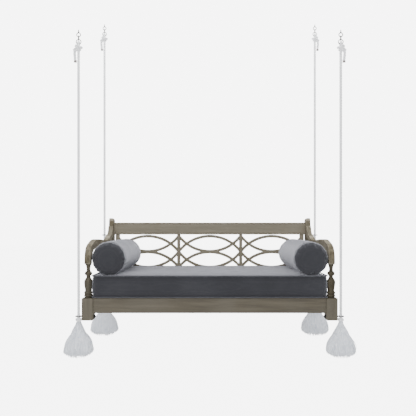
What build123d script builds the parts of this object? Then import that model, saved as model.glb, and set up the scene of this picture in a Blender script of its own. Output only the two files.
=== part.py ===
"""Porch swing: a wooden daybed with turned posts and a fretwork back, hung on four ropes.

Everything is laid out with X to the right, Y to the back and Z up from the underside of the
feet, and is moved at the end so that the origin is midway between the two front ceiling screws,
at the ceiling surface.
"""

import math
import os

from build123d import *

# Frame of the bench
POST = 90.0
POST_X = 986.0
FRONT_POST_Y = 45.0
BACK_POST_Y = 1050.0
BLOCK_TOP = 179.0
RAIL_BOTTOM = 59.0
RAIL_THICKNESS = 30.0
RAIL_SETBACK = 10.0
TENON_LENGTH = 35.0
TENON_THICKNESS = 20.0
TENON_SHOULDER = 15.0
TENON_GAP = 0.2
PEG_RADIUS = 5.0
EASED = 3.0

# Turned part of the front post
TURNING_TOP = 457.0
POST_TENON_RADIUS = 10.0
POST_TENON_HEIGHT = 25.0

# Arms and back
BOARD = 44.0
BACK_BOARD_FRONT = 985.0
BACK_BOARD_DEPTH = 90.0
EAR_TOP = 842.0
CREST_BOTTOM = 676.5
CREST_TOP = 797.0
CREST_FRONT = 1010.0
CREST_THICKNESS = 32.0
LOWER_BACK_RAIL_HEIGHT = 60.0
FRET_BOTTOM = 330.5
BAY_PITCH = 625.0
MULLION_WIDTH = 33.0
END_STILE_X = 926.5
END_STILE_WIDTH = 42.0
STILE_THICKNESS = 26.0
RIB_RADIUS = 391.0
RIB_WIDTH = 28.0
RIB_THICKNESS = 20.0
LENS_RISE = 156.0
KISS_OFFSET = 3.5

# Seat
SLAT_COUNT = 15
SLAT_WIDTH = 90.0
SLAT_PITCH = 125.0
SLAT_THICKNESS = 20.0
CLEAT = 30.0
BEARER_WIDTH = 40.0
BEARER_HEIGHT = 60.0
BEARER_HOUSING = 10.0
SCREW_RADIUS = 2.0
SCREW_HEAD_RADIUS = 4.0
SCREW_LENGTH = 38.0

# Soft goods
CUSHION_HALF_WIDTH = 948.0
CUSHION_FRONT = 4.0
CUSHION_BACK = 996.0
CUSHION_BOTTOM = 180.0
CUSHION_TOP = 362.0
BOLSTER_X = 823.0
BOLSTER_HALF_WIDTH = 140.0
BOLSTER_HALF_HEIGHT = 136.0
BOLSTER_CLEARANCE = 0.5
BOLSTER_ENDS = {"left": (26.0, 980.0), "right": (12.0, 968.0)}

# Ropes and their fittings
ROPE_RADIUS = 12.0
ROPE_X = 1066.0
EYE_Z = 28.0
GUIDE_Z = 671.0
EYE_RING_RADIUS = 22.5
EYE_WIRE_RADIUS = 4.5
EYE_SHANK_RADIUS = 5.0
EYE_BORE_RADIUS = 5.5
GUIDE_SHANK_RADIUS = 4.0
GUIDE_SCREW_DEPTH = 30.0
WASHER_RADIUS = 14.0
WASHER_THICKNESS = 3.0
NUT_RADIUS = 9.8
NUT_THICKNESS = 8.0
RUNNING_GAP = 0.3

CEILING_Z = 2338.5
BACK_CEILING_RISE = 448.0
STUD_RADIUS = 4.0
STUD_LENGTH = 15.5
STUD_TIP = 5.0
SHOULDER_RADIUS = 6.5
SCREW_EYE_DROP = 6.0
SCREW_EYE_RADIUS = 15.5
WIRE_RADIUS = 3.5
LINK_WIRE_RADIUS = 3.0
LINK_HEIGHT = 36.6
LINK_END_RADIUS = 9.0
ROPE_RING_RADIUS = 19.5

TOP_KNOT_SIZE = (72.0, 50.0, 48.0)
TOP_KNOT_DROP = 122.5
LOOP_ROPE_RADIUS = 11.0
TAIL_OFFSET = 27.0
TAIL_DROP = 244.5
LOWER_KNOT_RADIUS = 27.5
LOWER_KNOT_HEIGHT = 29.0

# Places worked out from the above
BOARD_INNER = POST_X - BOARD / 2
BOARD_OUTER = POST_X + BOARD / 2
BLOCK_INNER = POST_X - POST / 2
BLOCK_OUTER = POST_X + POST / 2
FRONT_BLOCK_BACK = FRONT_POST_Y + POST / 2
BACK_BLOCK_FRONT = BACK_POST_Y - POST / 2
FRONT_RAIL_BACK = RAIL_SETBACK + RAIL_THICKNESS
BACK_RAIL_FRONT = BACK_POST_Y - RAIL_THICKNESS / 2
SIDE_RAIL_INNER = POST_X - RAIL_THICKNESS / 2
SLAT_BOTTOM = BLOCK_TOP - SLAT_THICKNESS
CLEAT_HALF_LENGTH = BLOCK_INNER - 6.0
FRET_MIDDLE_Y = CREST_FRONT + CREST_THICKNESS / 2
FRET_MIDDLE_Z = (FRET_BOTTOM + CREST_BOTTOM) / 2
SCREW_EYE_Z = CEILING_Z - SCREW_EYE_RADIUS - SCREW_EYE_DROP
LINK_TOP_Z = SCREW_EYE_Z - SCREW_EYE_RADIUS + WIRE_RADIUS + LINK_WIRE_RADIUS + RUNNING_GAP
LINK_BOTTOM_Z = LINK_TOP_Z - LINK_HEIGHT
ROPE_RING_TOP_Z = LINK_BOTTOM_Z + WIRE_RADIUS + LINK_WIRE_RADIUS + RUNNING_GAP
ROPE_RING_Z = ROPE_RING_TOP_Z - ROPE_RING_RADIUS
TOP_KNOT_Z = CEILING_Z - TOP_KNOT_DROP
LOWER_KNOT_TOP = EYE_Z - ROPE_RADIUS - RUNNING_GAP
LOWER_KNOT_BOTTOM = LOWER_KNOT_TOP - LOWER_KNOT_HEIGHT


def block(x, y, z):
    """A box between the two values given for each axis."""
    size = [high - low for low, high in (x, y, z)]
    middle = [(high + low) / 2 for low, high in (x, y, z)]
    return Pos(*middle) * Box(*size)


def eased_block(x, y, z, along, radius=EASED):
    """A box whose long edges are rounded."""
    solid = block(x, y, z)
    return fillet(solid.edges().filter_by(along), radius)


def rod(start, end, radius):
    """A round bar from one point to another."""
    a, b = Vector(*start), Vector(*end)
    return Plane(origin=(a + b) * 0.5, z_dir=b - a) * Cylinder(radius, (b - a).length)


def hoop(centre, normal, ring_radius, wire_radius):
    """A closed ring of round wire."""
    return Plane(origin=centre, z_dir=normal) * Torus(ring_radius, wire_radius)


def grown(solid_bounds, gap=TENON_GAP):
    """The same x, y, z spans, a little larger all round, for a mortise."""
    return [(low - gap, high + gap) for low, high in solid_bounds]


def right_of(solid):
    """The right-hand twin of a left-hand piece."""
    return mirror(solid, about=Plane.YZ)


def write(name, *solids):
    """Moves the solids to the ceiling origin and writes them as one node."""
    place = Location((0, -FRONT_POST_Y, -CEILING_Z))
    moved = [one.moved(place) for solid in solids for one in solid.solids()]
    export_step(moved[0] if len(moved) == 1 else Compound(moved), f"parts/{name}.step")


# Tenons, each as its x, y, z spans on the left-hand side
def front_rail_tenon():
    y = (RAIL_SETBACK + 5.0, RAIL_SETBACK + 5.0 + TENON_THICKNESS)
    return [(-BLOCK_INNER - TENON_LENGTH, -BLOCK_INNER), y, rail_tenon_z()]


def back_rail_tenon():
    y = (BACK_POST_Y - TENON_THICKNESS / 2, BACK_POST_Y + TENON_THICKNESS / 2)
    return [(-BLOCK_INNER - TENON_LENGTH, -BLOCK_INNER), y, rail_tenon_z()]


def side_rail_tenons():
    x = (-POST_X - TENON_THICKNESS / 2, -POST_X + TENON_THICKNESS / 2)
    front = [x, (FRONT_BLOCK_BACK - TENON_LENGTH, FRONT_BLOCK_BACK), rail_tenon_z()]
    back = [x, (BACK_BLOCK_FRONT, BACK_BLOCK_FRONT + 25.0), rail_tenon_z()]
    return front, back


def rail_tenon_z():
    return (RAIL_BOTTOM + TENON_SHOULDER, BLOCK_TOP - TENON_SHOULDER)


def back_panel_tenon(bottom, top):
    """The end of the crest rail or the lower back rail, inside the back post."""
    y = (FRET_MIDDLE_Y - 10.0, FRET_MIDDLE_Y + 10.0)
    return [(-BOARD_INNER - 25.0, -BOARD_INNER), y, (bottom + 12.0, top - 12.0)]


def arm_tenon():
    x = (-POST_X - 12.0, -POST_X + 12.0)
    return [x, (BACK_BOARD_FRONT, BACK_BOARD_FRONT + 20.0), (690.0, 750.0)]


def peg_lines(post_y, inward):
    """Two pegs at a corner: one holds the cross rail's tenon and one the side rail's."""
    rail_peg_x = -BLOCK_INNER - TENON_LENGTH / 2
    cross = ((rail_peg_x, post_y + inward * 45.0, 100.0), (rail_peg_x, post_y - inward * 36.0, 100.0))
    side_y = post_y + inward * 32.0
    side = ((-BLOCK_INNER, side_y, 140.0), (-BLOCK_INNER - 64.0, side_y, 140.0))
    return cross, side


def turning():
    """The turned shaft that stands on the front post's square block."""
    base = BLOCK_TOP - 1.0
    with BuildPart() as shaft:
        with BuildSketch(Plane.XZ):
            with BuildLine():
                foot = Polyline((0, base), (30, base), (30, 184), (28, 187))
                low_ring = ThreePointArc(foot @ 1, (35, 197), (29, 208))
                low_groove = Line(low_ring @ 1, (29, 210))
                high_ring = ThreePointArc(low_groove @ 1, (35, 221), (28, 232))
                fillet_line = Line(high_ring @ 1, (27, 240))
                vase = Spline(fillet_line @ 1, (31, 270), (34.5, 300), (32, 320), (20, 340), (16, 352))
                step = Line(vase @ 1, (18, 360))
                bead = ThreePointArc(step @ 1, (30, 377), (18, 394))
                neck = Spline(bead @ 1, (15.5, 405), (17, 428), (21, 445))
                collar = Polyline(neck @ 1, (21, 447), (26, 449), (26, TURNING_TOP))
                Polyline(collar @ 1, (0, TURNING_TOP), (0, base))
            make_face()
        revolve(axis=Axis.Z)
    return Pos(-POST_X, FRONT_POST_Y, 0) * shaft.part


def post_block(post_y):
    x = (-BLOCK_OUTER, -BLOCK_INNER)
    y = (post_y - POST / 2, post_y + POST / 2)
    square = block(x, y, (0, BLOCK_TOP))
    square = chamfer(square.faces().sort_by(Axis.Z)[0].edges(), 6.0)
    square = chamfer(square.faces().sort_by(Axis.Z)[-1].edges(), 2.0)
    return chamfer(square.edges().filter_by(Axis.Z), 2.0)


def eye_bore(post_y):
    return rod((-BLOCK_OUTER - 1, post_y, EYE_Z), (-BLOCK_INNER + 1, post_y, EYE_Z), EYE_BORE_RADIUS)


def front_post():
    post = post_block(FRONT_POST_Y) + turning()
    foot = (-POST_X, FRONT_POST_Y, TURNING_TOP - 1.0)
    post += rod(foot, (-POST_X, FRONT_POST_Y, TURNING_TOP + POST_TENON_HEIGHT), POST_TENON_RADIUS)
    post -= block(*grown(front_rail_tenon()))
    post -= block(*grown(side_rail_tenons()[0]))
    post -= eye_bore(FRONT_POST_Y)
    for line in peg_lines(FRONT_POST_Y, 1):
        post -= rod(*line, PEG_RADIUS)
    return post


def back_post():
    """A square foot with a board above it, rounded into an ear at the top."""
    back = BACK_BOARD_FRONT + BACK_BOARD_DEPTH
    side = block((-BOARD_OUTER, -BOARD_INNER), (BACK_BOARD_FRONT, back), (BLOCK_TOP - 1.0, EAR_TOP))
    tops = side.edges().filter_by(Axis.X).sort_by(Axis.Z)[-2:].sort_by(Axis.Y)
    side = fillet(tops[0], 34.0)
    side = fillet(side.edges().filter_by(Axis.X).sort_by(Axis.Z)[-1:], 40.0)
    ear = block((-BOARD_OUTER, -BOARD_INNER), (BACK_BOARD_FRONT, back), (BLOCK_TOP - 1.0, EAR_TOP))
    inner_top = ear.edges().filter_by(Axis.Y).sort_by(Axis.Z)[-2:].sort_by(Axis.X)
    ear = fillet(inner_top[-1], 24.0)
    board = side & ear
    overhang = block((-BLOCK_OUTER, -BLOCK_INNER), (BACK_BOARD_FRONT - 1, BACK_BLOCK_FRONT), (0, BLOCK_TOP))
    post = post_block(BACK_POST_Y) + (board - overhang)
    post -= block(*grown(back_rail_tenon()))
    post -= block(*grown(side_rail_tenons()[1]))
    post -= block(*grown(back_panel_tenon(CREST_BOTTOM, CREST_TOP)))
    post -= block(*grown(back_panel_tenon(FRET_BOTTOM - LOWER_BACK_RAIL_HEIGHT, FRET_BOTTOM)))
    post -= block(*grown(arm_tenon()))
    post -= eye_bore(BACK_POST_Y)
    screw_end = (-BOARD_OUTER + GUIDE_SCREW_DEPTH, BACK_POST_Y, GUIDE_Z)
    post -= rod((-BOARD_OUTER - 1, BACK_POST_Y, GUIDE_Z), screw_end, GUIDE_SHANK_RADIUS)
    for line in peg_lines(BACK_POST_Y, -1):
        post -= rod(*line, PEG_RADIUS)
    return post


def arm():
    """A board sawn to a long S: up from the front post, level, then up to the back post's ear."""
    with BuildPart() as board:
        with BuildSketch(Plane.YZ.offset(-BOARD_OUTER)):
            with BuildLine():
                top = Spline(
                    (0, TURNING_TOP), (6, 529), (38, 583), (121, 620), (205, 641), (299, 648), (450, 641),
                    (634, 630), (767, 642), (860, 674), (932, 716), (965, 760), (BACK_BOARD_FRONT, 812),
                    tangents=((0, 1), (0.2, 1)),
                )
                back = Line(top @ 1, (BACK_BOARD_FRONT, 662))
                bottom = Spline(
                    back @ 1, (930, 641), (860, 606), (767, 577), (634, 562), (450, 571), (299, 578),
                    (205, 572), (130, 556), (88, 524), (76, TURNING_TOP),
                    tangents=((-1, -0.3), (0, -1)),
                )
                Line(bottom @ 1, top @ 0)
            make_face()
        extrude(amount=BOARD)
    solid = board.part
    solid += block(*arm_tenon())
    socket_top = TURNING_TOP + POST_TENON_HEIGHT + 1.0
    socket = rod((-POST_X, FRONT_POST_Y, 450), (-POST_X, FRONT_POST_Y, socket_top), POST_TENON_RADIUS + TENON_GAP)
    return solid - socket


def front_rail():
    y = (RAIL_SETBACK, FRONT_RAIL_BACK)
    rail = eased_block((-BLOCK_INNER, BLOCK_INNER), y, (RAIL_BOTTOM, BLOCK_TOP), Axis.X)
    tenon = block(*front_rail_tenon()) - rod(*peg_lines(FRONT_POST_Y, 1)[0], PEG_RADIUS)
    return rail + tenon + right_of(tenon)


def back_rail():
    y = (BACK_RAIL_FRONT, BACK_RAIL_FRONT + RAIL_THICKNESS)
    rail = eased_block((-BLOCK_INNER, BLOCK_INNER), y, (RAIL_BOTTOM, BLOCK_TOP), Axis.X)
    tenon = block(*back_rail_tenon()) - rod(*peg_lines(BACK_POST_Y, -1)[0], PEG_RADIUS)
    return rail + tenon + right_of(tenon)


def side_rail():
    x = (-POST_X - RAIL_THICKNESS / 2, -SIDE_RAIL_INNER)
    rail = eased_block(x, (FRONT_BLOCK_BACK, BACK_BLOCK_FRONT), (RAIL_BOTTOM, BLOCK_TOP), Axis.Y)
    front, back = side_rail_tenons()
    rail += block(*front) - rod(*peg_lines(FRONT_POST_Y, 1)[1], PEG_RADIUS)
    rail += block(*back) - rod(*peg_lines(BACK_POST_Y, -1)[1], PEG_RADIUS)
    return rail - bearer()


def bearer():
    """The middle support of the slats, housed in both side rails."""
    middle = (FRONT_RAIL_BACK + BACK_RAIL_FRONT) / 2
    half_length = SIDE_RAIL_INNER + BEARER_HOUSING
    y = (middle - BEARER_WIDTH / 2, middle + BEARER_WIDTH / 2)
    return block((-half_length, half_length), y, (SLAT_BOTTOM - BEARER_HEIGHT, SLAT_BOTTOM))


def back_panel_rail(bottom, top, thickness):
    y = (FRET_MIDDLE_Y - thickness / 2, FRET_MIDDLE_Y + thickness / 2)
    rail = eased_block((-BOARD_INNER, BOARD_INNER), y, (bottom, top), Axis.X)
    tenon = block(*back_panel_tenon(bottom, top))
    return rail + tenon + right_of(tenon)


def crest_rail():
    """The top rail of the back, with a sunk line near each edge of its front face."""
    rail = back_panel_rail(CREST_BOTTOM, CREST_TOP, CREST_THICKNESS)
    for z in (CREST_BOTTOM + 14.0, CREST_TOP - 14.0):
        rail -= rod((-BOARD_INNER, CREST_FRONT - 1.0, z), (BOARD_INNER, CREST_FRONT - 1.0, z), 3.0)
    return rail


def rib(centre_x, centre_z, low, high):
    """One curved rib of the fretwork: a flat ring cut down to the spans low to high."""
    y = FRET_MIDDLE_Y - RIB_THICKNESS / 2
    ends = (centre_x, y, centre_z), (centre_x, y + RIB_THICKNESS, centre_z)
    band = rod(*ends, RIB_RADIUS + RIB_WIDTH / 2) - rod(*ends, RIB_RADIUS - RIB_WIDTH / 2)
    return band & block((low[0], high[0]), (y, y + RIB_THICKNESS), (low[1], high[1]))


def half_lapped(front, back):
    """Two ribs that cross, each keeping half of the thickness where they do."""
    y = (FRET_MIDDLE_Y, FRET_MIDDLE_Y + RIB_THICKNESS)
    rear_half = block((-BOARD_INNER, BOARD_INNER), y, (FRET_BOTTOM, CREST_BOTTOM))
    crossing = front & back
    return front - (crossing & rear_half), back - (crossing - rear_half)


def fret_bay(middle, left, right):
    """Two ribs that bow out into a lens and two that bow in and kiss at the middle."""
    z = FRET_MIDDLE_Z
    drop = RIB_RADIUS - LENS_RISE
    reach = RIB_RADIUS + KISS_OFFSET
    lens_top = rib(middle, z - drop, (left, z), (right, CREST_BOTTOM))
    lens_bottom = rib(middle, z + drop, (left, FRET_BOTTOM), (right, z))
    hollow_top = rib(middle, z + reach, (left, FRET_BOTTOM), (right, CREST_BOTTOM))
    hollow_bottom = rib(middle, z - reach, (left, FRET_BOTTOM), (right, CREST_BOTTOM))
    hollow_top, hollow_bottom = half_lapped(hollow_top, hollow_bottom)
    lens_top, hollow_top = half_lapped(lens_top, hollow_top)
    lens_bottom, hollow_bottom = half_lapped(lens_bottom, hollow_bottom)
    return lens_top, lens_bottom, hollow_top, hollow_bottom


def stile(middle, width):
    y = (FRET_MIDDLE_Y - STILE_THICKNESS / 2, FRET_MIDDLE_Y + STILE_THICKNESS / 2)
    return eased_block((middle - width / 2, middle + width / 2), y, (FRET_BOTTOM, CREST_BOTTOM), Axis.Z, 2.0)


def slat_middles():
    return [SLAT_PITCH * (i - (SLAT_COUNT - 1) / 2) for i in range(SLAT_COUNT)]


def slat_screw(x, y):
    """A countersunk screw, flush with the slat."""
    shank = rod((x, y, BLOCK_TOP - SCREW_LENGTH), (x, y, BLOCK_TOP - 1.0), SCREW_RADIUS)
    head = Pos(x, y, BLOCK_TOP - 1.5) * Cone(SCREW_RADIUS, SCREW_HEAD_RADIUS, 3.0)
    return shank + head


def seat():
    """Slats, the cleats under their ends and the screws that join them."""
    screw_ys = (FRONT_RAIL_BACK + CLEAT / 2, BACK_RAIL_FRONT - CLEAT / 2)
    screws = [slat_screw(x, y) for x in slat_middles() for y in screw_ys]
    slats = []
    for x in slat_middles():
        y = (FRONT_RAIL_BACK + 1.0, BACK_RAIL_FRONT - 1.0)
        slat = eased_block((x - SLAT_WIDTH / 2, x + SLAT_WIDTH / 2), y, (SLAT_BOTTOM, BLOCK_TOP), Axis.Y)
        for screw_y in screw_ys:
            slat -= slat_screw(x, screw_y)
        slats.append(slat)
    cleats = []
    for y, screw_y in zip((FRONT_RAIL_BACK, BACK_RAIL_FRONT - CLEAT), screw_ys):
        length = (-CLEAT_HALF_LENGTH, CLEAT_HALF_LENGTH)
        cleat = block(length, (y, y + CLEAT), (SLAT_BOTTOM - CLEAT, SLAT_BOTTOM))
        for x in slat_middles():
            cleat -= slat_screw(x, screw_y)
        cleats.append(cleat)
    return slats, cleats, screws


def lower_eye(post_y):
    """A horizontal ring on a shank that runs through the post's foot."""
    centre = (-ROPE_X, post_y, EYE_Z)
    ring_side = -ROPE_X + EYE_RING_RADIUS
    shank_end = -BLOCK_INNER + WASHER_THICKNESS + NUT_THICKNESS + 5.0
    eye = hoop(centre, (0, 0, 1), EYE_RING_RADIUS, EYE_WIRE_RADIUS)
    eye += rod((ring_side, post_y, EYE_Z), (shank_end, post_y, EYE_Z), EYE_SHANK_RADIUS)
    shoulder = -BLOCK_OUTER - RUNNING_GAP
    return eye + rod((shoulder - 5.0, post_y, EYE_Z), (shoulder, post_y, EYE_Z), 9.0)


def eye_fasteners(post_y):
    """The washer and the lock nut on the inner end of a lower eye's shank."""
    face = -BLOCK_INNER + RUNNING_GAP
    washer_end = face + WASHER_THICKNESS
    washer = rod((face, post_y, EYE_Z), (washer_end, post_y, EYE_Z), WASHER_RADIUS)
    washer -= rod((face - 1, post_y, EYE_Z), (washer_end + 1, post_y, EYE_Z), EYE_BORE_RADIUS)
    nut_plane = Plane(origin=(washer_end, post_y, EYE_Z), z_dir=(1, 0, 0))
    nut = extrude(nut_plane * RegularPolygon(NUT_RADIUS, 6), NUT_THICKNESS)
    nut -= rod((washer_end - 1, post_y, EYE_Z), (washer_end + 20, post_y, EYE_Z), EYE_SHANK_RADIUS)
    return washer, nut


def guide_eye():
    """A horizontal ring screwed into the outer face of the back post."""
    centre = (-ROPE_X, BACK_POST_Y, GUIDE_Z)
    inner_end = (-BOARD_OUTER + GUIDE_SCREW_DEPTH, BACK_POST_Y, GUIDE_Z)
    eye = hoop(centre, (0, 0, 1), EYE_RING_RADIUS, EYE_WIRE_RADIUS)
    eye += rod((-ROPE_X + EYE_RING_RADIUS, BACK_POST_Y, GUIDE_Z), inner_end, GUIDE_SHANK_RADIUS)
    return eye + rod((-BOARD_OUTER - 4.0, BACK_POST_Y, GUIDE_Z), (-BOARD_OUTER, BACK_POST_Y, GUIDE_Z), 9.0)


def screw_eye(y, rise):
    """A ceiling screw eye: a ring that faces the front, a shoulder and a screw up into the ceiling."""
    ring = hoop((-ROPE_X, y, SCREW_EYE_Z + rise), (0, 1, 0), SCREW_EYE_RADIUS, WIRE_RADIUS)
    screw_top = CEILING_Z + rise + STUD_LENGTH
    ring_top = (-ROPE_X, y, SCREW_EYE_Z + rise + SCREW_EYE_RADIUS)
    ceiling = (-ROPE_X, y, CEILING_Z + rise)
    shoulder = rod(ring_top, ceiling, SHOULDER_RADIUS)
    screw = rod(ceiling, (-ROPE_X, y, screw_top), STUD_RADIUS)
    tip = Pos(-ROPE_X, y, screw_top + STUD_TIP / 2) * Cone(STUD_RADIUS, 1.0, STUD_TIP)
    return ring + shoulder + screw + tip


def hanging_link(y, rise):
    """An oval link, edge on to the front, from the screw eye to the rope's ring."""
    straight = LINK_HEIGHT - 2 * LINK_END_RADIUS
    low, high = -straight / 2, straight / 2
    half_ring = Torus(LINK_END_RADIUS, LINK_WIRE_RADIUS, major_angle=180, align=None)
    upper = Plane(origin=(0, 0, high), x_dir=(0, 1, 0), z_dir=(1, 0, 0)) * half_ring
    lower = Plane(origin=(0, 0, low), x_dir=(0, -1, 0), z_dir=(1, 0, 0)) * half_ring
    link = upper + lower
    for side in (-LINK_END_RADIUS, LINK_END_RADIUS):
        link += rod((0, side, low), (0, side, high), LINK_WIRE_RADIUS)
    return Pos(-ROPE_X, y, (LINK_TOP_Z + LINK_BOTTOM_Z) / 2 + rise) * link


def rope_ring(y, rise):
    return hoop((-ROPE_X, y, ROPE_RING_Z + rise), (0, 1, 0), ROPE_RING_RADIUS, WIRE_RADIUS)


def top_knot(y, rise):
    """The knot under the ring, with the turn of rope that goes round the ring's wire."""
    body = fillet(Box(*TOP_KNOT_SIZE).edges(), 20.0)
    knot = Pos(-ROPE_X, y, TOP_KNOT_Z + rise) * body
    wire_z = ROPE_RING_Z - ROPE_RING_RADIUS + rise
    turn_radius = WIRE_RADIUS + LOOP_ROPE_RADIUS + RUNNING_GAP
    turn = Torus(turn_radius, LOOP_ROPE_RADIUS, major_angle=180, align=None)
    knot += Plane(origin=(-ROPE_X, y, wire_z), x_dir=(0, 1, 0), z_dir=(1, 0, 0)) * turn
    for side in (-turn_radius, turn_radius):
        leg_foot = (-ROPE_X, y + side, TOP_KNOT_Z + rise)
        knot += rod(leg_foot, (-ROPE_X, y + side, wire_z), LOOP_ROPE_RADIUS)
    return knot


def rope(y, top, bottom):
    """A taut rope that ends in a ball, so that it can tilt in the eye it goes through."""
    run = rod((-ROPE_X, y, bottom), (-ROPE_X, y, top), ROPE_RADIUS)
    return run + Pos(-ROPE_X, y, bottom) * Sphere(ROPE_RADIUS)


def tail(y, rise):
    """The rope's cut end, hanging outboard of the rope from the knot."""
    x = -ROPE_X - TAIL_OFFSET
    return rod((x, y, TOP_KNOT_Z + rise), (x, y, CEILING_Z - TAIL_DROP + rise), ROPE_RADIUS)


def lower_knot(post_y):
    knot = Cylinder(LOWER_KNOT_RADIUS, LOWER_KNOT_HEIGHT)
    knot = fillet(knot.edges().filter_by(GeomType.CIRCLE), 9.0)
    return Pos(-ROPE_X, post_y, (LOWER_KNOT_TOP + LOWER_KNOT_BOTTOM) / 2) * knot


def tassel(post_y, length, widest, shoulder):
    """The fringe under the knot, by its length, its largest radius and its radius halfway."""
    top = LOWER_KNOT_BOTTOM
    with BuildPart() as fringe:
        with BuildSketch(Plane.XZ):
            with BuildLine():
                neck = Line((0, top), (15, top))
                edge = Spline(
                    neck @ 1, (36, top - 32), (shoulder, top - 0.5 * length), (widest, top - 0.8 * length),
                    (0.72 * widest, top - 0.96 * length), (12, top - length),
                    tangents=((1, -1.2), (-1, -0.15)),
                )
                Polyline(edge @ 1, (0, top - length), (0, top))
            make_face()
        revolve(axis=Axis.Z)
    return Pos(-ROPE_X, post_y, 0) * fringe.part


def seat_cushion():
    x = (-CUSHION_HALF_WIDTH, CUSHION_HALF_WIDTH)
    cushion = block(x, (CUSHION_FRONT, CUSHION_BACK), (CUSHION_BOTTOM, CUSHION_TOP))
    cushion = fillet(cushion.edges().filter_by(Axis.Z), 30.0)
    return fillet(cushion.faces().filter_by(Axis.Z).edges(), 14.0)


def bolster(side, ends):
    """A long round pillow that lies on the seat against an arm."""
    middle_z = CUSHION_TOP + BOLSTER_CLEARANCE + BOLSTER_HALF_HEIGHT
    section = Plane(origin=(side * BOLSTER_X, ends[0], middle_z), x_dir=(1, 0, 0), z_dir=(0, 1, 0))
    roll = extrude(section * Ellipse(BOLSTER_HALF_WIDTH, BOLSTER_HALF_HEIGHT), ends[1] - ends[0])
    return fillet(roll.faces().filter_by(Axis.Y).edges(), 22.0)


def write_pair(name, left_piece):
    write(f"{name}_left", left_piece)
    write(f"{name}_right", right_of(left_piece))


def write_both(name, *left_pieces):
    write(name, *left_pieces, *[right_of(piece) for piece in left_pieces])


os.makedirs("parts", exist_ok=True)

write_pair("front_post", front_post())
write_pair("back_post", back_post())
write_pair("arm", arm())
write("front_rail", front_rail())
write("back_rail", back_rail())
write_both("side_rails", side_rail())
write("centre_bearer", bearer())
write("crest_rail", crest_rail())
write("lower_back_rail", back_panel_rail(FRET_BOTTOM - LOWER_BACK_RAIL_HEIGHT, FRET_BOTTOM, 30.0))

inner_stile_face = BAY_PITCH / 2 + MULLION_WIDTH / 2
centre_reach = BAY_PITCH / 2 - MULLION_WIDTH / 2
end_stile_face = END_STILE_X - END_STILE_WIDTH / 2
left_bay = fret_bay(-BAY_PITCH, -end_stile_face, -inner_stile_face)
write("fretwork_left", *left_bay)
write("fretwork_centre", *fret_bay(0, -centre_reach, centre_reach))
write("fretwork_right", *[right_of(piece) for piece in left_bay])
write_both("back_stiles", stile(-BAY_PITCH / 2, MULLION_WIDTH), stile(-END_STILE_X, END_STILE_WIDTH))

slats, cleats, screws = seat()
write("seat_slats", *slats)
write("slat_cleats", *cleats)
write("slat_screws", *screws)
pegs = [rod(*line, PEG_RADIUS) for line in peg_lines(FRONT_POST_Y, 1) + peg_lines(BACK_POST_Y, -1)]
write_both("tenon_pegs", *pegs)

write("seat_cushion", seat_cushion())
write("bolster_left", bolster(-1, BOLSTER_ENDS["left"]))
write("bolster_right", bolster(1, BOLSTER_ENDS["right"]))

write_both("ceiling_screw_eyes", screw_eye(FRONT_POST_Y, 0), screw_eye(BACK_POST_Y, BACK_CEILING_RISE))
knot_bottom = TOP_KNOT_Z - TOP_KNOT_SIZE[2] / 2
for corner, y, rise, rope_end in (
    ("front", FRONT_POST_Y, 0, EYE_Z),
    ("back", BACK_POST_Y, BACK_CEILING_RISE, GUIDE_Z),
):
    write_pair(f"hanging_link_{corner}", hanging_link(y, rise))
    write_pair(f"rope_ring_{corner}", rope_ring(y, rise))
    write_pair(f"top_knot_{corner}", top_knot(y, rise))
    write_pair(f"rope_tail_{corner}", tail(y, rise))
    write_pair(f"rope_{corner}", rope(y, knot_bottom + rise, rope_end))

write_pair("lower_eye_front", lower_eye(FRONT_POST_Y))
for side, mirrored in (("left", False), ("right", True)):
    fasteners = eye_fasteners(FRONT_POST_Y)
    write(f"eye_nut_front_{side}", *[right_of(piece) if mirrored else piece for piece in fasteners])
write_both("lower_eyes_back", lower_eye(BACK_POST_Y))
write_both("eye_nuts_back", *eye_fasteners(BACK_POST_Y))
write_both("guide_eyes", guide_eye())
guide_gap = GUIDE_Z - ROPE_RADIUS - RUNNING_GAP
lower_rope = rod((-ROPE_X, BACK_POST_Y, LOWER_KNOT_TOP), (-ROPE_X, BACK_POST_Y, guide_gap), ROPE_RADIUS)
write_pair("lower_rope_back", lower_rope)

write_pair("lower_knot_front", lower_knot(FRONT_POST_Y))
write_both("lower_knots_back", lower_knot(BACK_POST_Y))
write_pair("tassel_front", tassel(FRONT_POST_Y, 297.0, 118.0, 96.0))
write_both("tassels_back", tassel(BACK_POST_Y, 340.0, 137.0, 104.0))
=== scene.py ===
"""The porch swing's looks: materials for the timber and metal, twisted ropes with their knots,
fringed tassels, a piped seat cushion and two gathered bolsters."""

import math

import bpy
import numpy as np
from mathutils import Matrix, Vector


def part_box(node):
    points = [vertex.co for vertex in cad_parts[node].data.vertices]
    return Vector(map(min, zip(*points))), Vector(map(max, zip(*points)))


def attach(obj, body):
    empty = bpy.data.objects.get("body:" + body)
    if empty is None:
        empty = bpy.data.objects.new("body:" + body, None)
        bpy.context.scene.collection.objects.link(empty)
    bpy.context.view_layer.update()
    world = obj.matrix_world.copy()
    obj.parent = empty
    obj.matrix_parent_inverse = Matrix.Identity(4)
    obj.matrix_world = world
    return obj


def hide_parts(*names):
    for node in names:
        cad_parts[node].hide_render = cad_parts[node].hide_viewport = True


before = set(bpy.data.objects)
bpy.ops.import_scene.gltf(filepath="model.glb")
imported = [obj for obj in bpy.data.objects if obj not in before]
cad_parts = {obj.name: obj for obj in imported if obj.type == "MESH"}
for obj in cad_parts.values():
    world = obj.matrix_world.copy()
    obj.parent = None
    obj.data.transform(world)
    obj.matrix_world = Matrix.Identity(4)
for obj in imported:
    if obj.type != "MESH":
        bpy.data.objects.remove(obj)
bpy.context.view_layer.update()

SIDES = {"left": -1, "right": 1}
ROPE_DIAMETER = 0.024
STRAND_RADIUS = 0.0058
STRAND_ORBIT = 0.0061
ROPE_PITCH = 0.066
CAMERA_DISTANCE = 4.069
CAMERA_HEIGHT = 0.762
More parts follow.
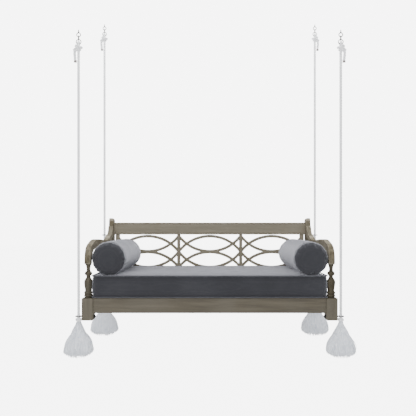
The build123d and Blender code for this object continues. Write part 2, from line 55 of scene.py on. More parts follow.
CAMERA_LENS = 43.3
CAMERA_SHIFT = (-0.0041, 0.0433)
FLOOR_DROP = 0.85
BACKDROP_STRENGTH = 7.0
FLOOR_GLOW = 6.8
FILL_STRENGTH = 0.75


def middle(node):
    low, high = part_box(node)
    return (Vector(low) + Vector(high)) / 2


# ---------------------------------------------------------------- camera, light and floor

FRONT_Y = middle("rope_front_left").y
FEET_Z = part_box("front_post_left")[0][2]
EYE_LEVEL = FEET_Z + CAMERA_HEIGHT


def add_camera():
    data = bpy.data.cameras.new("camera")
    data.lens = CAMERA_LENS
    data.sensor_width = 36.0
    data.shift_x, data.shift_y = CAMERA_SHIFT
    camera = bpy.data.objects.new("camera", data)
    camera.location = (0.0, FRONT_Y - CAMERA_DISTANCE, EYE_LEVEL)
    camera.rotation_euler = (math.radians(90), 0, 0)
    bpy.context.collection.objects.link(camera)
    bpy.context.scene.camera = camera


def add_area_light(name, place, target, size, power, colour=(1, 1, 1)):
    data = bpy.data.lights.new(name, "AREA")
    data.shape = "RECTANGLE"
    data.size, data.size_y = size
    data.energy = power
    data.color = colour
    lamp = bpy.data.objects.new(name, data)
    lamp.location = place
    lamp.rotation_euler = (Vector(target) - Vector(place)).to_track_quat("-Z", "Y").to_euler()
    bpy.context.collection.objects.link(lamp)


def add_world():
    """A bright backdrop to the camera, and a dimmer, even light on the object."""
    world = bpy.data.worlds.new("studio")
    bpy.context.scene.world = world
    world.use_nodes = True
    nodes, links = world.node_tree.nodes, world.node_tree.links
    nodes.clear()
    seen = nodes.new("ShaderNodeBackground")
    seen.inputs["Color"].default_value = (1, 1, 1, 1)
    seen.inputs["Strength"].default_value = BACKDROP_STRENGTH
    fill = nodes.new("ShaderNodeBackground")
    fill.inputs["Color"].default_value = (0.93, 0.96, 1, 1)
    fill.inputs["Strength"].default_value = FILL_STRENGTH
    path = nodes.new("ShaderNodeLightPath")
    mix = nodes.new("ShaderNodeMixShader")
    out = nodes.new("ShaderNodeOutputWorld")
    links.new(path.outputs["Is Camera Ray"], mix.inputs[0])
    links.new(fill.outputs[0], mix.inputs[1])
    links.new(seen.outputs[0], mix.inputs[2])
    links.new(mix.outputs[0], out.inputs[0])


def add_floor():
    bpy.ops.mesh.primitive_plane_add(size=60, location=(0, 6, FEET_Z - FLOOR_DROP))
    floor = bpy.context.object
    floor.name = "studio_floor"
    floor.data.materials.append(floor_material())


def floor_material():
    """A pale floor that the camera sees about as bright as the backdrop."""
    material, tree, shader = new_material("pale_floor")
    shader.inputs["Base Color"].default_value = (0.86, 0.86, 0.86, 1)
    shader.inputs["Roughness"].default_value = 0.9
    glow = tree.nodes.new("ShaderNodeEmission")
    glow.inputs["Strength"].default_value = FLOOR_GLOW
    path = tree.nodes.new("ShaderNodeLightPath")
    mix = tree.nodes.new("ShaderNodeMixShader")
    tree.links.new(path.outputs["Is Camera Ray"], mix.inputs[0])
    tree.links.new(shader.outputs[0], mix.inputs[1])
    tree.links.new(glow.outputs[0], mix.inputs[2])
    tree.links.new(mix.outputs[0], tree.nodes["Material Output"].inputs["Surface"])
    return material


# ---------------------------------------------------------------- materials

def new_material(name):
    material = bpy.data.materials.new(name)
    material.use_nodes = True
    tree = material.node_tree
    return material, tree, tree.nodes["Principled BSDF"]


def coordinates(tree, scale):
    """Object coordinates stretched by a scale for each axis."""
    source = tree.nodes.new("ShaderNodeTexCoord")
    mapping = tree.nodes.new("ShaderNodeMapping")
    mapping.inputs["Scale"].default_value = scale
    tree.links.new(source.outputs["Object"], mapping.inputs["Vector"])
    return mapping.outputs["Vector"]


def noise(tree, vector, scale, detail=4.0, roughness=0.55, distortion=0.0):
    node = tree.nodes.new("ShaderNodeTexNoise")
    node.inputs["Scale"].default_value = scale
    node.inputs["Detail"].default_value = detail
    node.inputs["Roughness"].default_value = roughness
    node.inputs["Distortion"].default_value = distortion
    tree.links.new(vector, node.inputs["Vector"])
    return node.outputs["Fac"]


def ramp(tree, factor, stops):
    node = tree.nodes.new("ShaderNodeValToRGB")
    while len(node.color_ramp.elements) < len(stops):
        node.color_ramp.elements.new(0.5)
    for element, (place, colour) in zip(node.color_ramp.elements, stops):
        element.position = place
        element.color = (*colour, 1)
    tree.links.new(factor, node.inputs["Fac"])
    return node.outputs["Color"]


def blend_colours(tree, factor, first, second, mode="MIX"):
    node = tree.nodes.new("ShaderNodeMix")
    node.data_type = "RGBA"
    node.blend_type = mode
    for socket, value in ((node.inputs["Factor"], factor), (node.inputs[6], first), (node.inputs[7], second)):
        if isinstance(value, (int, float)):
            socket.default_value = value
        elif isinstance(value, tuple):
            socket.default_value = (*value, 1)
        else:
            tree.links.new(value, socket)
    return node.outputs[2]


def calculate(tree, operation, first, second=0.0):
    node = tree.nodes.new("ShaderNodeMath")
    node.operation = operation
    for socket, value in zip(node.inputs, (first, second)):
        if isinstance(value, (int, float)):
            socket.default_value = value
        else:
            tree.links.new(value, socket)
    return node.outputs[0]


def add_bump(tree, shader, height, distance, strength=1.0):
    bump = tree.nodes.new("ShaderNodeBump")
    bump.inputs["Distance"].default_value = distance
    bump.inputs["Strength"].default_value = strength
    tree.links.new(height, bump.inputs["Height"])
    tree.links.new(bump.outputs["Normal"], shader.inputs["Normal"])


WOOD_TONES = ((0.056, 0.043, 0.023), (0.140, 0.114, 0.067), (0.255, 0.215, 0.138))
DUSTY_WOOD = (0.22, 0.20, 0.155)
WORN_WOOD = (0.36, 0.32, 0.245)


def wood(name, along, depth):
    """Weathered grey-brown timber whose grain runs along one axis; a lower depth darkens all its colours, and
    the front boards' low depth is painted shade.
    """
    material, tree, shader = new_material(name)
    stretch = [1.0 if axis == along else 14.0 for axis in "xyz"]
    grain_space = coordinates(tree, stretch)
    broad = noise(tree, grain_space, 2.2, 5.0, 0.6, 0.6)
    fine = noise(tree, coordinates(tree, [3.0 if axis == along else 150.0 for axis in "xyz"]), 1.6, 3.0, 0.7)
    blotch = noise(tree, coordinates(tree, (1, 1, 1)), 3.1, 2.0)
    dark, mid, pale = ([c * depth for c in colour] for colour in WOOD_TONES)
    dusty, bare = ([c * depth for c in colour] for colour in (DUSTY_WOOD, WORN_WOOD))
    body = ramp(tree, broad, [(0.30, dark), (0.50, mid), (0.72, pale)])
    streaks = ramp(tree, fine, [(0.34, (0.55, 0.54, 0.52)), (0.55, (1, 1, 1))])
    coloured = blend_colours(tree, 0.85, body, streaks, "MULTIPLY")
    weathered = blend_colours(tree, ramp(tree, blotch, [(0.42, (0, 0, 0)), (0.7, (0.5, 0.5, 0.5))]),
                              coloured, tuple(dusty))
    edge = tree.nodes.new("ShaderNodeNewGeometry")
    worn = ramp(tree, edge.outputs["Pointiness"], [(0.53, (0, 0, 0)), (0.60, (0.6, 0.6, 0.6))])
    tree.links.new(blend_colours(tree, worn, weathered, tuple(bare)), shader.inputs["Base Color"])
    rough = ramp(tree, broad, [(0.3, (0.82, 0.82, 0.82)), (0.7, (0.6, 0.6, 0.6))])
    tree.links.new(rough, shader.inputs["Roughness"])
    shader.inputs["Specular IOR Level"].default_value = 0.3
    height = calculate(tree, "ADD", calculate(tree, "MULTIPLY", fine, 0.6), broad)
    add_bump(tree, shader, height, 0.0012)
    return material


def woven(name, colour, sheen):
    """A plain weave: crossed threads in two directions on every face, with slubs and fading."""
    material, tree, shader = new_material(name)
    threads = []
    for axis in range(3):
        wave = tree.nodes.new("ShaderNodeTexWave")
        wave.bands_direction = "XYZ"[axis]
        wave.inputs["Scale"].default_value = 170.0
        wave.inputs["Distortion"].default_value = 1.2
        wave.inputs["Detail"].default_value = 1.0
        wave.inputs["Detail Scale"].default_value = 0.6
        tree.links.new(coordinates(tree, (1, 1, 1)), wave.inputs["Vector"])
        threads.append(wave.outputs["Fac"])
    weave = calculate(tree, "MULTIPLY", calculate(tree, "MAXIMUM", threads[0], threads[1]), threads[2])
    slub = noise(tree, coordinates(tree, (60, 9, 60)), 3.0, 3.0, 0.7)
    fade = noise(tree, coordinates(tree, (1, 1, 1)), 4.0, 3.0)
    low, high = ([c * k for c in colour] for k in (0.72, 1.25))
    body = blend_colours(tree, slub, tuple(low), tuple(high))
    faded = blend_colours(tree, ramp(tree, fade, [(0.4, (0, 0, 0)), (0.75, (0.35, 0.35, 0.35))]),
                          body, tuple(min(1.0, c * 1.7) for c in colour))
    thread_shade = ramp(tree, weave, [(0.1, (0.6, 0.6, 0.6)), (0.7, (1.1, 1.1, 1.1))])
    threaded = blend_colours(tree, 0.4, faded, thread_shade, "MULTIPLY")
    tree.links.new(threaded, shader.inputs["Base Color"])
    shader.inputs["Roughness"].default_value = 0.92
    shader.inputs["Specular IOR Level"].default_value = 0.15
    shader.inputs["Sheen Weight"].default_value = sheen
    shader.inputs["Sheen Roughness"].default_value = 0.45
    shader.inputs["Sheen Tint"].default_value = (0.93, 0.93, 1.0, 1)
    add_bump(tree, shader, calculate(tree, "ADD", weave, slub), 0.0007, 0.7)
    return material


def yarn(name, pale, shade, fibre_scale, painted_glow):
    """White yarn with fine fibres, a blue-grey shade between them and a painted glow that brightens it."""
    material, tree, shader = new_material(name)
    fibres = noise(tree, coordinates(tree, fibre_scale), 1.0, 4.0, 0.7)
    soil = noise(tree, coordinates(tree, (1, 1, 1)), 9.0, 3.0)
    body = ramp(tree, fibres, [(0.3, shade), (0.62, pale)])
    soiled = blend_colours(tree, ramp(tree, soil, [(0.5, (0, 0, 0)), (0.8, (0.25, 0.25, 0.25))]), body, shade)
    tree.links.new(soiled, shader.inputs["Base Color"])
    shader.inputs["Roughness"].default_value = 0.85
    shader.inputs["Sheen Weight"].default_value = 0.25
    # painted glow: the yarn emits light in its own colour, which makes it brighter than the lamps alone do
    tree.links.new(soiled, shader.inputs["Emission Color"])
    shader.inputs["Emission Strength"].default_value = painted_glow
    add_bump(tree, shader, fibres, 0.0006, 0.8)
    return material


def metal(name, colour, roughness):
    """Dark coated or zinc metal with small scratches and rubbed spots."""
    material, tree, shader = new_material(name)
    scratches = noise(tree, coordinates(tree, (40, 40, 400)), 2.0, 4.0, 0.7)
    spots = noise(tree, coordinates(tree, (1, 1, 1)), 90.0, 3.0)
    rubbed = tuple(min(1.0, c * 2.6 + 0.03) for c in colour)
    factor = ramp(tree, spots, [(0.52, (0, 0, 0)), (0.72, (0.7, 0.7, 0.7))])
    tree.links.new(blend_colours(tree, factor, colour, rubbed), shader.inputs["Base Color"])
    shader.inputs["Metallic"].default_value = 0.55
    low, high = [(roughness + step,) * 3 for step in (-0.1, 0.15)]
    tree.links.new(ramp(tree, scratches, [(0.35, low), (0.65, high)]), shader.inputs["Roughness"])
    add_bump(tree, shader, scratches, 0.0002, 0.6)
    return material


# ---------------------------------------------------------------- mesh helpers

def new_piece(name, vertices, faces, material, body, slot):
    mesh = bpy.data.meshes.new(name)
    mesh.from_pydata([tuple(v) for v in vertices], [], faces)
    mesh.update()
    mesh.materials.append(material)
    mesh.polygons.foreach_set("use_smooth", [True] * len(mesh.polygons))
    piece = bpy.data.objects.new(name, mesh)
    bpy.context.collection.objects.link(piece)
    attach(piece, body)
    return piece


def spline_points(controls, spacing):
    """Evenly spaced points along the smooth curve that the control points steer."""
    curve = bpy.data.curves.new("route", "CURVE")
    curve.dimensions = "3D"
    curve.resolution_u = 24
    spline = curve.splines.new("NURBS")
    spline.points.add(len(controls) - 1)
    for point, place in zip(spline.points, controls):
        point.co = (*place, 1)
    spline.order_u = 3
    spline.use_endpoint_u = True
    holder = bpy.data.objects.new("route", curve)
    bpy.context.collection.objects.link(holder)
    bpy.context.view_layer.update()
    mesh = bpy.data.meshes.new_from_object(holder)
    points = np.array([v.co[:] for v in mesh.vertices])
    bpy.data.objects.remove(holder)
    bpy.data.curves.remove(curve)
    bpy.data.meshes.remove(mesh)
    steps = np.linalg.norm(np.diff(points, axis=0), axis=1)
    points = points[np.r_[True, steps > 1e-7]]
    along = np.r_[0, np.cumsum(np.linalg.norm(np.diff(points, axis=0), axis=1))]
    count = max(3, int(along[-1] / spacing) + 1)
    wanted = np.linspace(0, along[-1], count)
    return np.stack([np.interp(wanted, along, points[:, i]) for i in range(3)], axis=1)


def carried_frames(points):
    """A sideways direction at each point that turns no more than the path does."""
    tangents = np.gradient(points, axis=0)
    tangents /= np.linalg.norm(tangents, axis=1, keepdims=True)
    start = np.array([0.0, 1.0, 0.0]) if abs(tangents[0][1]) < 0.8 else np.array([1.0, 0.0, 0.0])
    normals = [start]
    for tangent in tangents:
        side = normals[-1] - tangent * (normals[-1] @ tangent)
        normals.append(side / np.linalg.norm(side))
    normals = np.array(normals[1:])
    return tangents, normals, np.cross(tangents, normals)


def tube(points, radius, sides=8, closed_ends=True):
    """Vertices and faces of a round tube; radius is a number or one for each point."""
    _, normals, binormals = carried_frames(points)
    radii = np.broadcast_to(np.asarray(radius, float), (len(points),))
    angles = np.arange(sides) * 2 * math.pi / sides
    across = np.cos(angles)[None, :, None] * normals[:, None]
    upward = np.sin(angles)[None, :, None] * binormals[:, None]
    rings = points[:, None] + radii[:, None, None] * (across + upward)
    vertices = rings.reshape(-1, 3).tolist()
    faces = [
        (i * sides + j, i * sides + (j + 1) % sides, (i + 1) * sides + (j + 1) % sides, (i + 1) * sides + j)
        for i in range(len(points) - 1) for j in range(sides)
    ]
    if closed_ends:
        last = (len(points) - 1) * sides
        faces += [tuple(reversed(range(sides))), tuple(range(last, last + sides))]
    return vertices, faces


def joined(parts):
    vertices, faces = [], []
    for part_vertices, part_faces in parts:
        offset = len(vertices)
        vertices += part_vertices
        faces += [tuple(index + offset for index in face) for face in part_faces]
    return vertices, faces


def laid_rope(points, size=1.0):
    """Three strands laid round a path."""
    _, normals, binormals = carried_frames(points)
    along = np.r_[0, np.cumsum(np.linalg.norm(np.diff(points, axis=0), axis=1))]
    turn = 2 * math.pi * along / (ROPE_PITCH * size)
    parts = []
    for strand in range(3):
        angle = turn + strand * 2 * math.pi / 3
        offset = np.cos(angle)[:, None] * normals + np.sin(angle)[:, None] * binormals
        strand_points = points + STRAND_ORBIT * size * offset
        parts.append(tube(strand_points, STRAND_RADIUS * size))
    return joined(parts)


# ---------------------------------------------------------------- ropes and knots

def straight_route(top, bottom):
    """A taut run with a point about six diameters from each end."""
    near = 6 * ROPE_DIAMETER
    run = (bottom - top).normalized() * near
    return [top, top + run, bottom - run, bottom]


def add_rope(node, body, ends):
    """A taut twisted rope in place of its plain solid."""
    points = spline_points(straight_route(*ends), 0.005)
    vertices, faces = laid_rope(points)
    rope = new_piece(f"{node}_strands", vertices, faces, ROPE, body, "rope")
    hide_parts(node)
    return rope


def add_top_knot(corner, side):
    """The turn round the ring, the wraps under it and the cut end that hangs beside the rope."""
    out = SIDES[side]
    body = f"rope_{corner}_{side}"
    node = f"top_knot_{corner}_{side}"
    knot = middle(f"rope_{corner}_{side}")
    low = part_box(node)[0]
    base = Vector((knot.x, knot.y, low[2]))
    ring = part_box(f"rope_ring_{corner}_{side}")
    wire_z = ring[0][2] + 0.0035 - base.z

    def place(points):
        return [base + Vector((out * x, y, z)) for x, y, z in points]

    over = wire_z + 0.0148
    turn = place([
        (0.000, 0.012, 0.010), (0.002, 0.015, 0.030), (0.001, 0.0155, wire_z), (0.0, 0.013, over - 0.001),
        (0.0, 0.0, over + 0.004), (0.0, -0.013, over - 0.001), (-0.001, -0.0155, wire_z),
        (-0.004, -0.015, 0.032), (0.004, -0.016, 0.020),
    ])
    wraps = [
        (0.025 * math.sin(a), -0.0165 * math.cos(a), 0.036 - 0.0195 * a / (2 * math.pi))
        for a in np.linspace(0.0, 3.1 * math.pi, 16)
    ]
    wraps = place(wraps + [(-0.012, 0.014, 0.006), (0.020, 0.006, 0.002), (0.030, 0.0, -0.006)])
    poke = place([
        (0.006, -0.014, 0.018), (0.022, -0.013, 0.013), (0.034, -0.010, 0.004), (0.040, -0.008, -0.004),
    ])
    parts = [laid_rope(spline_points(route, 0.0035), 0.86) for route in (turn, wraps)]
    parts.append(laid_rope(spline_points(poke, 0.0035), 0.6))
    knot_piece = new_piece(f"{node}_rope", *joined(parts), ROPE, body, "rope")
    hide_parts(node)

    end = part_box(f"rope_tail_{corner}_{side}")[0][2] - base.z
    hang = place([
        (0.020, -0.004, 0.012), (0.031, -0.003, -0.004), (0.032, -0.001, 0.35 * end), (0.028, 0.0, 0.7 * end),
        (0.0262, 0.0, end),
    ])
    tail_points = spline_points(hang, 0.004)
    tail = new_piece(f"rope_tail_{corner}_{side}_strands", *laid_rope(tail_points, 0.97), ROPE, body, "rope")
    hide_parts(f"rope_tail_{corner}_{side}")
    tip_points = tail_points[-4:] + np.array([0, 0, -0.0003])
    tip = new_piece(f"rope_tail_{corner}_{side}_tape", *tube(tip_points, 0.0122, 16), TAPE, body, "rope")
    return [knot_piece, tail, tip]


def wound_knot(centre, radius, height, turns):
    """Wraps of rope stacked round a vertical axis."""
    size = 0.84
    angles = np.linspace(0, 2 * math.pi * turns, int(12 * turns) + 1)
    route = [
        centre + Vector((radius * math.cos(a), radius * math.sin(a), height * (0.5 - a / angles[-1])))
        for a in angles
    ]
    return laid_rope(spline_points(route, 0.0035), size)


def add_lower_knots(name, node, body, centres, height):
    parts = []
    for centre in centres:
        parts.append(wound_knot(centre, 0.0165, height - 0.021, 2.2))
        reach = Vector((0, 0, 0.010 + height / 2))
        parts.append(laid_rope(spline_points(straight_route(centre + reach, centre - reach), 0.004)))
    piece = new_piece(name, *joined(parts), ROPE, body, "rope")
    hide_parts(node)
    return piece


# ---------------------------------------------------------------- tassels

TASSEL_STRANDS = 1100


def tassel_edge(share, widest):
    """The fringe's outline: its radius at a share of the way down."""
    flare = 0.5 - 0.5 * math.cos(math.pi * min(1.0, share / 0.82) ** 0.85)
    return 0.014 + (widest - 0.014) * flare


def tassel_mesh(top, length, widest, random):
    """Loose strands that flare from the knot and end unevenly, round a soft core."""
    parts = []
    for index in range(TASSEL_STRANDS):
        angle = random.uniform(0, 2 * math.pi)
        depth = math.sqrt(random.uniform(0.30, 1.0)) if index % 3 else random.uniform(0.93, 1.0)
        reach = 0.80 + 0.19 * (1 - depth ** 2) ** 0.5 + random.uniform(-0.05, 0.012)
        swing = random.normal(0, 0.05)
        curl = random.normal(0, 0.004)
        points = []
        for step in np.linspace(0, 1, 11):
            share = step * reach
            radius = tassel_edge(share, widest) * depth
            radius *= 1 - 0.10 * max(0.0, share - 0.82) / 0.18
            turn = angle + swing * step + 0.05 * math.sin(5 * step + 9 * depth)
            offset = curl * math.sin(7 * step + angle)
            points.append([
                top[0] + (radius + offset) * math.cos(turn), top[1] + (radius + offset) * math.sin(turn),
                top[2] - length * share,
            ])
        taper = np.linspace(0.0013, 0.0019, 11)
        taper[-1] = 0.0006
        parts.append(tube(np.array(points), taper, 4))
    parts.append(tassel_core(top, length, widest))
    return joined(parts)


def tassel_core(top, length, widest):
    sides, levels = 64, 26
    vertices, faces = [], []
    for level in range(levels):
        share = 0.93 * level / (levels - 1)
        for side in range(sides):
            angle = 2 * math.pi * side / sides
            ridge = 1 + 0.05 * math.sin(9 * angle + 3 * share) * share + 0.02 * math.sin(23 * angle)
            radius = 0.74 * tassel_edge(share, widest) * ridge
            if share > 0.78:
                radius *= math.sqrt(max(0.0, 1 - ((share - 0.78) / 0.155) ** 2)) * 0.98 + 0.02
            vertices.append((top[0] + radius * math.cos(angle), top[1] + radius * math.sin(angle),
                             top[2] - length * share))
    for level in range(levels - 1):
        for side in range(sides):
            a, b = level * sides + side, level * sides + (side + 1) % sides
            faces.append((a, a + sides, b + sides, b))
    faces.append(tuple(range(sides)))
    faces.append(tuple(reversed(range((levels - 1) * sides, levels * sides))))
    return vertices, faces


def add_tassels(node, body, tops, length, widest, seed):
    random = np.random.default_rng(seed)
    parts = [tassel_mesh(top, length, widest, random) for top in tops]
    piece = new_piece(f"{node}_fringe", *joined(parts), FRINGE, body, "fringe")
    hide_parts(node)
    return piece


# ---------------------------------------------------------------- cushion and bolsters

def even_mesh(piece, voxel):
    """Remakes a closed form with small, even faces."""
    remesh = piece.modifiers.new("even_mesh", "REMESH")
    remesh.mode = "VOXEL"
    remesh.voxel_size = voxel
    bpy.context.view_layer.objects.active = piece
    piece.select_set(True)
    bpy.ops.object.modifier_apply(modifier="even_mesh")


def simulate(piece, cap):
    """Runs a closed form as cloth under pressure, then holds every point within the cap of its start."""
    count = len(piece.data.vertices)
    start = np.empty(count * 3)
    piece.data.vertices.foreach_get("co", start)
    cloth = piece.modifiers.new("swell", "CLOTH")
    cloth.settings.quality = 4
    cloth.settings.use_pressure = True
    cloth.settings.uniform_pressure_force = 4.0
    cloth.settings.effector_weights.gravity = 0.0
    cloth.settings.tension_stiffness = 20
    cloth.settings.compression_stiffness = 12
    cloth.settings.bending_stiffness = 1.5
    cloth.collision_settings.use_collision = False
    scene = bpy.context.scene
    for step in range(1, 21):
        scene.frame_set(step)
    depsgraph = bpy.context.evaluated_depsgraph_get()
    swollen = piece.evaluated_get(depsgraph)
    finish = np.empty(count * 3)
    swollen.data.vertices.foreach_get("co", finish)
    piece.modifiers.remove(cloth)
    scene.frame_set(1)
    start, finish = start.reshape(-1, 3), finish.reshape(-1, 3)
    move = finish - start
    size = np.linalg.norm(move, axis=1, keepdims=True)
    move *= np.minimum(1.0, cap / np.maximum(size, 1e-9))
    piece.data.vertices.foreach_set("co", (start + move).ravel())
    piece.data.update()


def rounded_loop(half_width, half_depth, corner, per_corner, per_side):
    """A rounded rectangle's outline, anticlockwise, as points on its corners and its sides."""
    points = []
    centres = ((1, 1, 0), (-1, 1, 90), (-1, -1, 180), (1, -1, 270))
    for index, (sx, sy, angle) in enumerate(centres):
        cx, cy = sx * (half_width - corner), sy * (half_depth - corner)
        arc = [
            (cx + corner * math.cos(math.radians(angle + 90 * k / per_corner)),
             cy + corner * math.sin(math.radians(angle + 90 * k / per_corner)))
            for k in range(per_corner + 1)
        ]
        points += arc
        nx, ny, next_angle = centres[(index + 1) % 4]
        start = arc[-1]
        end_x = nx * (half_width - corner) + corner * math.cos(math.radians(next_angle))
        end_y = ny * (half_depth - corner) + corner * math.sin(math.radians(next_angle))
        count = per_side[index % 2]
        points += [
            (start[0] + (end_x - start[0]) * k / count, start[1] + (end_y - start[1]) * k / count)
            for k in range(1, count)
        ]
    return points


def cushion_form(centre, half, crown, per_side):
    """A boxed cushion: upright sides that bulge a little, and a crowned top and bottom."""
    outline = rounded_loop(half[0], half[1], 0.032, 8, per_side)
    rings = []
    for z in np.linspace(-1, 1, 13):
        bulge = 0.008 * (1 - z * z)
        rings.append([(x + math.copysign(bulge, x) * min(1, abs(x) / half[0]) ** 6,
                       y + math.copysign(bulge, y) * min(1, abs(y) / half[1]) ** 6, z * half[2])
                      for x, y in outline])
    shrinks = (0.012, 0.03, 0.06, 0.11, 0.18, 0.27, 0.38, 0.5, 0.64, 0.8, 0.93)

    def cap(sign):
        layers = []
        for shrink in shrinks:
            rise = crown if sign > 0 else 0.002
            height = half[2] + rise * math.sin(min(1.0, shrink * 2.6) * math.pi / 2)
            inset = shrink * half[1]
            kx, ky = (half[0] - inset) / half[0], (half[1] - inset) / half[1]
            layers.append([(x * kx, y * ky, sign * height) for x, y in outline])
        return layers

    stack = list(reversed(cap(-1))) + rings + cap(1)
    count = len(outline)
    vertices = [tuple(Vector(centre) + Vector(v)) for ring in stack for v in ring]
    faces = [
        (i * count + j, i * count + (j + 1) % count, (i + 1) * count + (j + 1) % count, (i + 1) * count + j)
        for i in range(len(stack) - 1) for j in range(count)
    ]
    faces.append(tuple(reversed(range(count))))
    faces.append(tuple(range((len(stack) - 1) * count, len(stack) * count)))
    return vertices, faces


def add_piping(name, outline, radius, body):
    """A round welt along a closed outline."""
    points = np.array(outline + outline[:1])
    along = np.r_[0, np.cumsum(np.linalg.norm(np.diff(points, axis=0), axis=1))]
    wanted = np.linspace(0, along[-1], int(along[-1] / 0.008))
    even = np.stack([np.interp(wanted, along, points[:, i]) for i in range(3)], axis=1)
    return new_piece(name, *tube(even, radius, 8, False), PIPING, body, "seat_fabric")


def surface_wave(vertices, amount, scale, seed):
    """Slow unevenness, as of foam under cloth."""
    random = np.random.default_rng(seed)
    offset = np.zeros(len(vertices))
    for _ in range(7):
        direction = random.normal(size=3)
        direction /= np.linalg.norm(direction)
        phase = random.uniform(0, 2 * math.pi)
        offset += np.sin(vertices @ direction * scale * random.uniform(0.5, 1.6) + phase)
    return amount * offset / 7


def roughen(piece, amount, scale, seed):
    mesh = piece.data
    count = len(mesh.vertices)
    points = np.empty(count * 3)
    normals = np.empty(count * 3)
    mesh.vertices.foreach_get("co", points)
    mesh.vertex_normals.foreach_get("vector", normals)
    points, normals = points.reshape(-1, 3), normals.reshape(-1, 3)
    points = points + normals * surface_wave(points, amount, scale, seed)[:, None]
    mesh.vertices.foreach_set("co", points.ravel())
    mesh.update()


def smooth_faces(piece):
    piece.data.polygons.foreach_set("use_smooth", [True] * len(piece.data.polygons))


def add_seat_cushion():
    low, high = (Vector(v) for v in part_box("seat_cushion"))
    centre = (low + high) / 2
    half = (high - low) / 2
    inner = (half.x + 0.004, half.y - 0.006, half.z - 0.002)
    cushion = new_piece("seat_cushion_cover", *cushion_form(centre, inner, 0.006, (60, 110)), FABRIC,
                        "bench", "seat_fabric")
    even_mesh(cushion, 0.011)
    # The cloth runs far past the cap on this wide form, so what is kept is only a shift of up to the
    # cap: the crown and the bulging sides come from cushion_form, not from the simulation.
    simulate(cushion, 0.005)
    roughen(cushion, 0.0035, 17.0, 5)
    subdivision = cushion.modifiers.new("smooth_cloth", "SUBSURF")
    subdivision.levels = subdivision.render_levels = 1
    smooth_faces(cushion)
    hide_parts("seat_cushion")
    for name, z in (("top", high.z - 0.003), ("bottom", low.z + 0.007)):
        outline = [
            (centre.x + x, centre.y + y, z)
            for x, y in rounded_loop(inner[0] + 0.003, inner[1] + 0.003, 0.034, 10, (60, 110))
        ]
        add_piping(f"seat_cushion_{name}_piping", outline, 0.0048, "bench")


def bolster_form(low, high):
    """A roll with domed, gathered ends; its pleats fade away from each rim."""
    centre = (low + high) / 2
    half = (high - low) / 2
    sides, body_rings, cap_rings = 144, 60, 16
    profile = []
    for k in range(cap_rings):
        share = k / cap_rings
        profile.append((-half.y + 0.010 * share ** 4, 0.02 + 0.94 * share))
    rim = 0.022
    for k in range(7):
        a = math.pi / 2 * k / 6
        profile.append((-half.y + 0.010 + rim * (1 - math.cos(a)), 0.96 + 0.04 * math.sin(a)))
    flat = np.linspace(-half.y + 0.012 + rim, 0, body_rings // 2)[1:]
    profile += [(y, 1.0 + 0.006 * (1 - (y / half.y) ** 2)) for y in flat]
    profile += [(-y, r) for y, r in reversed(profile[:-1])]
    vertices = []
    for y, r in profile:
        edge = max(0.0, 1 - abs(abs(y) - half.y) / 0.11)
        for side in range(sides):
            a = 2 * math.pi * side / sides
            pleat = 0.022 * math.sin(15 * a + 2.0 * math.sin(3 * a)) + 0.012 * math.sin(27 * a + 1.3)
            scale = r * (1 + pleat * edge ** 2 * min(1.0, r * 1.2))
            vertices.append((centre.x + half.x * scale * math.cos(a), centre.y + y,
                             centre.z + half.z * scale * math.sin(a)))
    count = len(profile)
    faces = [
        (i * sides + j, (i + 1) * sides + j, (i + 1) * sides + (j + 1) % sides, i * sides + (j + 1) % sides)
        for i in range(count - 1) for j in range(sides)
    ]
    faces.append(tuple(range(sides)))
    faces.append(tuple(reversed(range((count - 1) * sides, count * sides))))
    return vertices, faces


def add_bolster(side):
    node = f"bolster_{side}"
    low, high = (Vector(v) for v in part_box(node))
    sunk = Vector((0.0, 0.0, 0.006))
    bolster = new_piece(f"{node}_cover", *bolster_form(low - sunk, high), FABRIC, "bench", "seat_fabric")
    even_mesh(bolster, 0.007)
    simulate(bolster, 0.004)
    roughen(bolster, 0.0022, 26.0, 11 if side == "left" else 12)
    subdivision = bolster.modifiers.new("smooth_cloth", "SUBSURF")
    subdivision.levels = subdivision.render_levels = 1
    smooth_faces(bolster)
    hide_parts(node)


# ---------------------------------------------------------------- putting it together

add_camera()
add_world()
add_floor()
add_area_light("overhead", (0.0, FRONT_Y + 0.2, FEET_Z + 4.6), (0, FRONT_Y + 0.5, FEET_Z), (5.0, 3.6), 370)
add_area_light("front_fill", (-1.6, FRONT_Y - 5.2, FEET_Z + 2.2), (0, FRONT_Y, FEET_Z + 0.4), (4.0, 3.0), 85)

# the last number is the strength of each yarn's painted glow
ROPE = yarn("white_rope", (0.90, 0.90, 0.90), (0.62, 0.63, 0.65), (420, 420, 120), 0.55)
FRINGE = yarn("white_fringe", (0.90, 0.92, 0.95), (0.42, 0.45, 0.50), (160, 160, 8), 0.42)
TAPE = yarn("cut_end", (0.34, 0.29, 0.27), (0.20, 0.17, 0.16), (300, 300, 300), 0.0)
FABRIC = woven("charcoal_weave", (0.038, 0.038, 0.043), 0.95)
PIPING = woven("charcoal_piping", (0.050, 0.050, 0.057), 0.95)
DARK_METAL = metal("dark_fitting", (0.022, 0.020, 0.020), 0.5)
GREY_METAL = metal("dull_steel", (0.16, 0.155, 0.15), 0.5)
LOWER_EYES = ("lower_eye_front_left", "lower_eye_front_right", "lower_eyes_back")
ZINC = metal("zinc_screw", (0.50, 0.50, 0.52), 0.35)
# The front boards get a darker copy of the timber: painted shade for the dim light that falls on their fronts
FRONT_BOARDS = ("front_rail", "front_post_left", "front_post_right", "tenon_pegs")
GRAIN = {axis: wood(f"weathered_timber_{axis}", axis, 0.86) for axis in "xyz"}
# painted shade: the same timber at about half the brightness, for the front boards
SHADED_FRONT_GRAIN = {axis: wood(f"shaded_front_timber_{axis}", axis, 0.48) for axis in "xyz"}
ALONG = {
    "z": ("front_post_left", "front_post_right", "back_post_left", "back_post_right", "back_stiles"),
    "y": ("arm_left", "arm_right", "side_rails", "seat_slats", "tenon_pegs"),
    "x": ("front_rail", "back_rail", "centre_bearer", "crest_rail", "lower_back_rail", "fretwork_left",
          "fretwork_centre", "fretwork_right", "slat_cleats"),
}


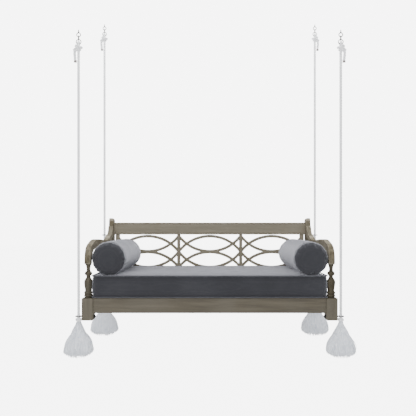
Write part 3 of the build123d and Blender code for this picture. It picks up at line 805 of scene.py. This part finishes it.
def dress_frame():
    materials = {
        node: (SHADED_FRONT_GRAIN if node in FRONT_BOARDS else GRAIN)[axis]
        for axis, nodes in ALONG.items() for node in nodes
    }
    materials["slat_screws"] = ZINC
    metal_starts = ("ceiling_screw", "hanging_link", "rope_ring", "lower_eye", "eye_nut", "guide_eye")
    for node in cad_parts:
        if node.startswith(metal_starts):
            materials[node] = DARK_METAL
    for node in LOWER_EYES:
        materials[node] = GREY_METAL
    for node, material in materials.items():
        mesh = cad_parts[node].data
        mesh.materials.clear()
        mesh.materials.append(material)


def add_ropes():
    for side in SIDES:
        knot_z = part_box(f"lower_knot_front_{side}")[1][2]
        for corner in ("front", "back"):
            low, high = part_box(f"rope_{corner}_{side}")
            x, y = middle(f"rope_{corner}_{side}").xy
            pieces = add_top_knot(corner, side)
            lowest = knot_z - 0.004 if corner == "front" else low[2] + ROPE_DIAMETER / 2 - 0.016
            ends = (Vector((x, y, high[2] + 0.004)), Vector((x, y, lowest)))
            add_rope(f"rope_{corner}_{side}", f"rope_{corner}_{side}", ends)
        low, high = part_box(f"lower_rope_back_{side}")
        x, y = middle(f"lower_rope_back_{side}").xy
        ends = (Vector((x, y, high[2] + 0.006)), Vector((x, y, low[2] - 0.004)))
        add_rope(f"lower_rope_back_{side}", "bench", ends)


def add_knots_and_tassels():
    low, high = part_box("lower_knot_front_left")
    height = high[2] - low[2]
    back_low, back_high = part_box("tassels_back")
    back_y = middle("rope_back_left").y
    back_top = back_high[2]
    back_radius = (back_high[1] - back_low[1]) / 2
    rope_x = middle("rope_front_right").x
    for side, out in SIDES.items():
        node = f"lower_knot_front_{side}"
        add_lower_knots(f"{node}_rope", node, f"eye_front_{side}", [middle(node)], height)
        node = f"tassel_front_{side}"
        low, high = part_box(node)
        centre = middle(node)
        add_tassels(node, f"eye_front_{side}", [(centre.x, centre.y, high[2])], high[2] - low[2],
                    (high[0] - low[0]) / 2, 21 + out)
    knots_z = middle("lower_knots_back").z
    centres = [Vector((out * rope_x, back_y, knots_z)) for out in SIDES.values()]
    add_lower_knots("lower_knots_back_rope", "lower_knots_back", "bench", centres, height)
    tops = [(out * rope_x, back_y, back_top) for out in SIDES.values()]
    add_tassels("tassels_back", "bench", tops, back_high[2] - back_low[2], back_radius, 31)


add_ropes()
add_knots_and_tassels()
dress_frame()
add_seat_cushion()
for bolster_side in SIDES:
    add_bolster(bolster_side)
